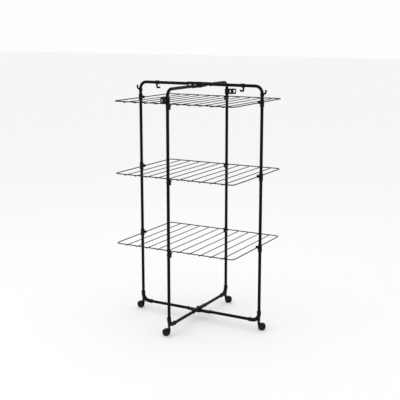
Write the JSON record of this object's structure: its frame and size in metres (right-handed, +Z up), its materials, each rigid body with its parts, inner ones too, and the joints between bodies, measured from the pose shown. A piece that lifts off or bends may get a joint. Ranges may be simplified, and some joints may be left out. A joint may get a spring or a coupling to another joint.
{
  "type": "clothes drying rack",
  "caption": "Three-tier tower clothes airer on castors: two crossed tube frames that fold like scissors, with hinged wire wings for washing.",
  "frame": {"origin": "on the floor under the centre line where the two frames cross", "axes": "+Z up along the crossing line; +X to the right-hand leg of the outer frame, +Y to the rear leg of the inner frame"},
  "size_m": [0.8934, 0.8064, 1.4433],
  "materials": {
    "tube_paint": "satin black powder coat on steel tube",
    "wire_coat": "black plastic-coated steel wire",
    "fitting": "fine-grained black moulded plastic",
    "castor_body": "black moulded plastic",
    "wheel_tread": "dark grey moulded plastic wheel",
    "steel": "blackened steel"
  },
  "bodies": {
    "inner_frame": {"inner_post_rear": "tube_paint", "inner_foot_bar_rear": "tube_paint", "inner_foot_elbow_rear": "fitting", "inner_post_front": "tube_paint", "inner_foot_bar_front": "tube_paint", "inner_foot_elbow_front": "fitting", "inner_hub_top": "fitting", "inner_hub_foot": "fitting", "hub_pin_top": "steel", "hub_pin_foot": "steel", "hanger_collar_front": "fitting", "hanger_collar_rear": "fitting", "wing_hinge_front_top": "fitting", "wing_hinge_rear_top": "fitting", "wing_hinge_front_middle": "fitting", "wing_hinge_rear_middle": "fitting", "wing_hinge_front_bottom": "fitting", "wing_hinge_rear_bottom": "fitting"},
    "outer_frame": {"outer_post_right": "tube_paint", "outer_foot_bar_right": "tube_paint", "outer_foot_elbow_right": "fitting", "outer_post_left": "tube_paint", "outer_foot_bar_left": "tube_paint", "outer_foot_elbow_left": "fitting", "outer_hub_top": "fitting", "outer_hub_foot": "fitting", "wing_clip_left_top": "fitting", "wing_clip_right_top": "fitting", "wing_clip_left_middle": "fitting", "wing_clip_right_middle": "fitting", "wing_clip_left_bottom": "fitting", "wing_clip_right_bottom": "fitting", "rail_hook_left": "fitting", "rail_hook_right": "fitting", "side_hook_left": "fitting", "side_hook_right": "fitting"},
    "wing_right_top": {"wing_right_top": "wire_coat"},
    "wing_left_top": {"wing_left_top": "wire_coat"},
    "wing_right_middle": {"wing_right_middle": "wire_coat"},
    "wing_left_middle": {"wing_left_middle": "wire_coat"},
    "wing_right_bottom": {"wing_right_bottom": "wire_coat"},
    "wing_left_bottom": {"wing_left_bottom": "wire_coat"},
    "hanger_arm_front": {"hanger_arm_front": "fitting"},
    "hanger_arm_rear": {"hanger_arm_rear": "fitting"},
    "castor_right": {"castor_housing_right": "castor_body", "castor_axle_right": "steel"},
    "castor_wheels_right": {"castor_wheel_a_right": "wheel_tread", "castor_wheel_b_right": "wheel_tread"},
    "castor_left": {"castor_housing_left": "castor_body", "castor_axle_left": "steel"},
    "castor_wheels_left": {"castor_wheel_a_left": "wheel_tread", "castor_wheel_b_left": "wheel_tread"},
    "castor_rear": {"castor_housing_rear": "castor_body", "castor_axle_rear": "steel"},
    "castor_wheels_rear": {"castor_wheel_a_rear": "wheel_tread", "castor_wheel_b_rear": "wheel_tread"},
    "castor_front": {"castor_housing_front": "castor_body", "castor_axle_front": "steel"},
    "castor_wheels_front": {"castor_wheel_a_front": "wheel_tread", "castor_wheel_b_front": "wheel_tread"}
  },
  "joints": [
    {"name": "frame_fold", "type": "hinge", "parent": "inner_frame", "child": "outer_frame", "pos_m": [0, 0, 0], "axis": [0, 0, 1], "range_deg": [0, 72]},
    {"name": "wing_right_top_fold", "type": "hinge", "parent": "inner_frame", "child": "wing_right_top", "pos_m": [0.005, 0, 1.331], "axis": [0, 1, 0], "range_deg": [0, 90]},
    {"name": "wing_left_top_fold", "type": "hinge", "parent": "inner_frame", "child": "wing_left_top", "pos_m": [-0.005, 0, 1.331], "axis": [0, -1, 0], "range_deg": [0, 90]},
    {"name": "wing_right_middle_fold", "type": "hinge", "parent": "inner_frame", "child": "wing_right_middle", "pos_m": [0.005, 0, 0.91], "axis": [0, 1, 0], "range_deg": [0, 90]},
    {"name": "wing_left_middle_fold", "type": "hinge", "parent": "inner_frame", "child": "wing_left_middle", "pos_m": [-0.005, 0, 0.91], "axis": [0, -1, 0], "range_deg": [0, 90]},
    {"name": "wing_right_bottom_fold", "type": "hinge", "parent": "inner_frame", "child": "wing_right_bottom", "pos_m": [0.005, 0, 0.491], "axis": [0, 1, 0], "range_deg": [0, 90]},
    {"name": "wing_left_bottom_fold", "type": "hinge", "parent": "inner_frame", "child": "wing_left_bottom", "pos_m": [-0.005, 0, 0.491], "axis": [0, -1, 0], "range_deg": [0, 90]},
    {"name": "hanger_arm_front_swivel", "type": "hinge", "parent": "inner_frame", "child": "hanger_arm_front", "pos_m": [0, -0.354, 1.364], "axis": [0, 0, 1], "range_deg": [-81.5, 98.5]},
    {"name": "hanger_arm_rear_swivel", "type": "hinge", "parent": "inner_frame", "child": "hanger_arm_rear", "pos_m": [0, 0.354, 1.364], "axis": [0, 0, 1], "range_deg": [-42, 138]},
    {"name": "castor_right_swivel", "type": "hinge", "parent": "outer_frame", "child": "castor_right", "pos_m": [0.405, 0, 0.05], "axis": [0, 0, 1], "continuous": true},
    {"name": "castor_right_roll", "type": "hinge", "parent": "castor_right", "child": "castor_wheels_right", "pos_m": [0.425, 0, 0.0205], "axis": [0, 1, 0], "continuous": true},
    {"name": "castor_left_swivel", "type": "hinge", "parent": "outer_frame", "child": "castor_left", "pos_m": [-0.405, 0, 0.05], "axis": [0, 0, 1], "continuous": true},
    {"name": "castor_left_roll", "type": "hinge", "parent": "castor_left", "child": "castor_wheels_left", "pos_m": [-0.425, 0, 0.0205], "axis": [0, -1, 0], "continuous": true},
    {"name": "castor_rear_swivel", "type": "hinge", "parent": "inner_frame", "child": "castor_rear", "pos_m": [0, 0.354, 0.05], "axis": [0, 0, 1], "continuous": true},
    {"name": "castor_rear_roll", "type": "hinge", "parent": "castor_rear", "child": "castor_wheels_rear", "pos_m": [0.02, 0.354, 0.0205], "axis": [0, 1, 0], "continuous": true},
    {"name": "castor_front_swivel", "type": "hinge", "parent": "inner_frame", "child": "castor_front", "pos_m": [0, -0.354, 0.05], "axis": [0, 0, 1], "continuous": true},
    {"name": "castor_front_roll", "type": "hinge", "parent": "castor_front", "child": "castor_wheels_front", "pos_m": [-0.02, -0.354, 0.0205], "axis": [0, -1, 0], "continuous": true}
  ],
  "couplings": [
    {"joint": "wing_right_top_fold", "follows": "frame_fold", "ratio": 1.25},
    {"joint": "wing_left_top_fold", "follows": "frame_fold", "ratio": 1.25},
    {"joint": "wing_right_middle_fold", "follows": "frame_fold", "ratio": 1.25},
    {"joint": "wing_left_middle_fold", "follows": "frame_fold", "ratio": 1.25},
    {"joint": "wing_right_bottom_fold", "follows": "frame_fold", "ratio": 1.25},
    {"joint": "wing_left_bottom_fold", "follows": "frame_fold", "ratio": 1.25}
  ]
}
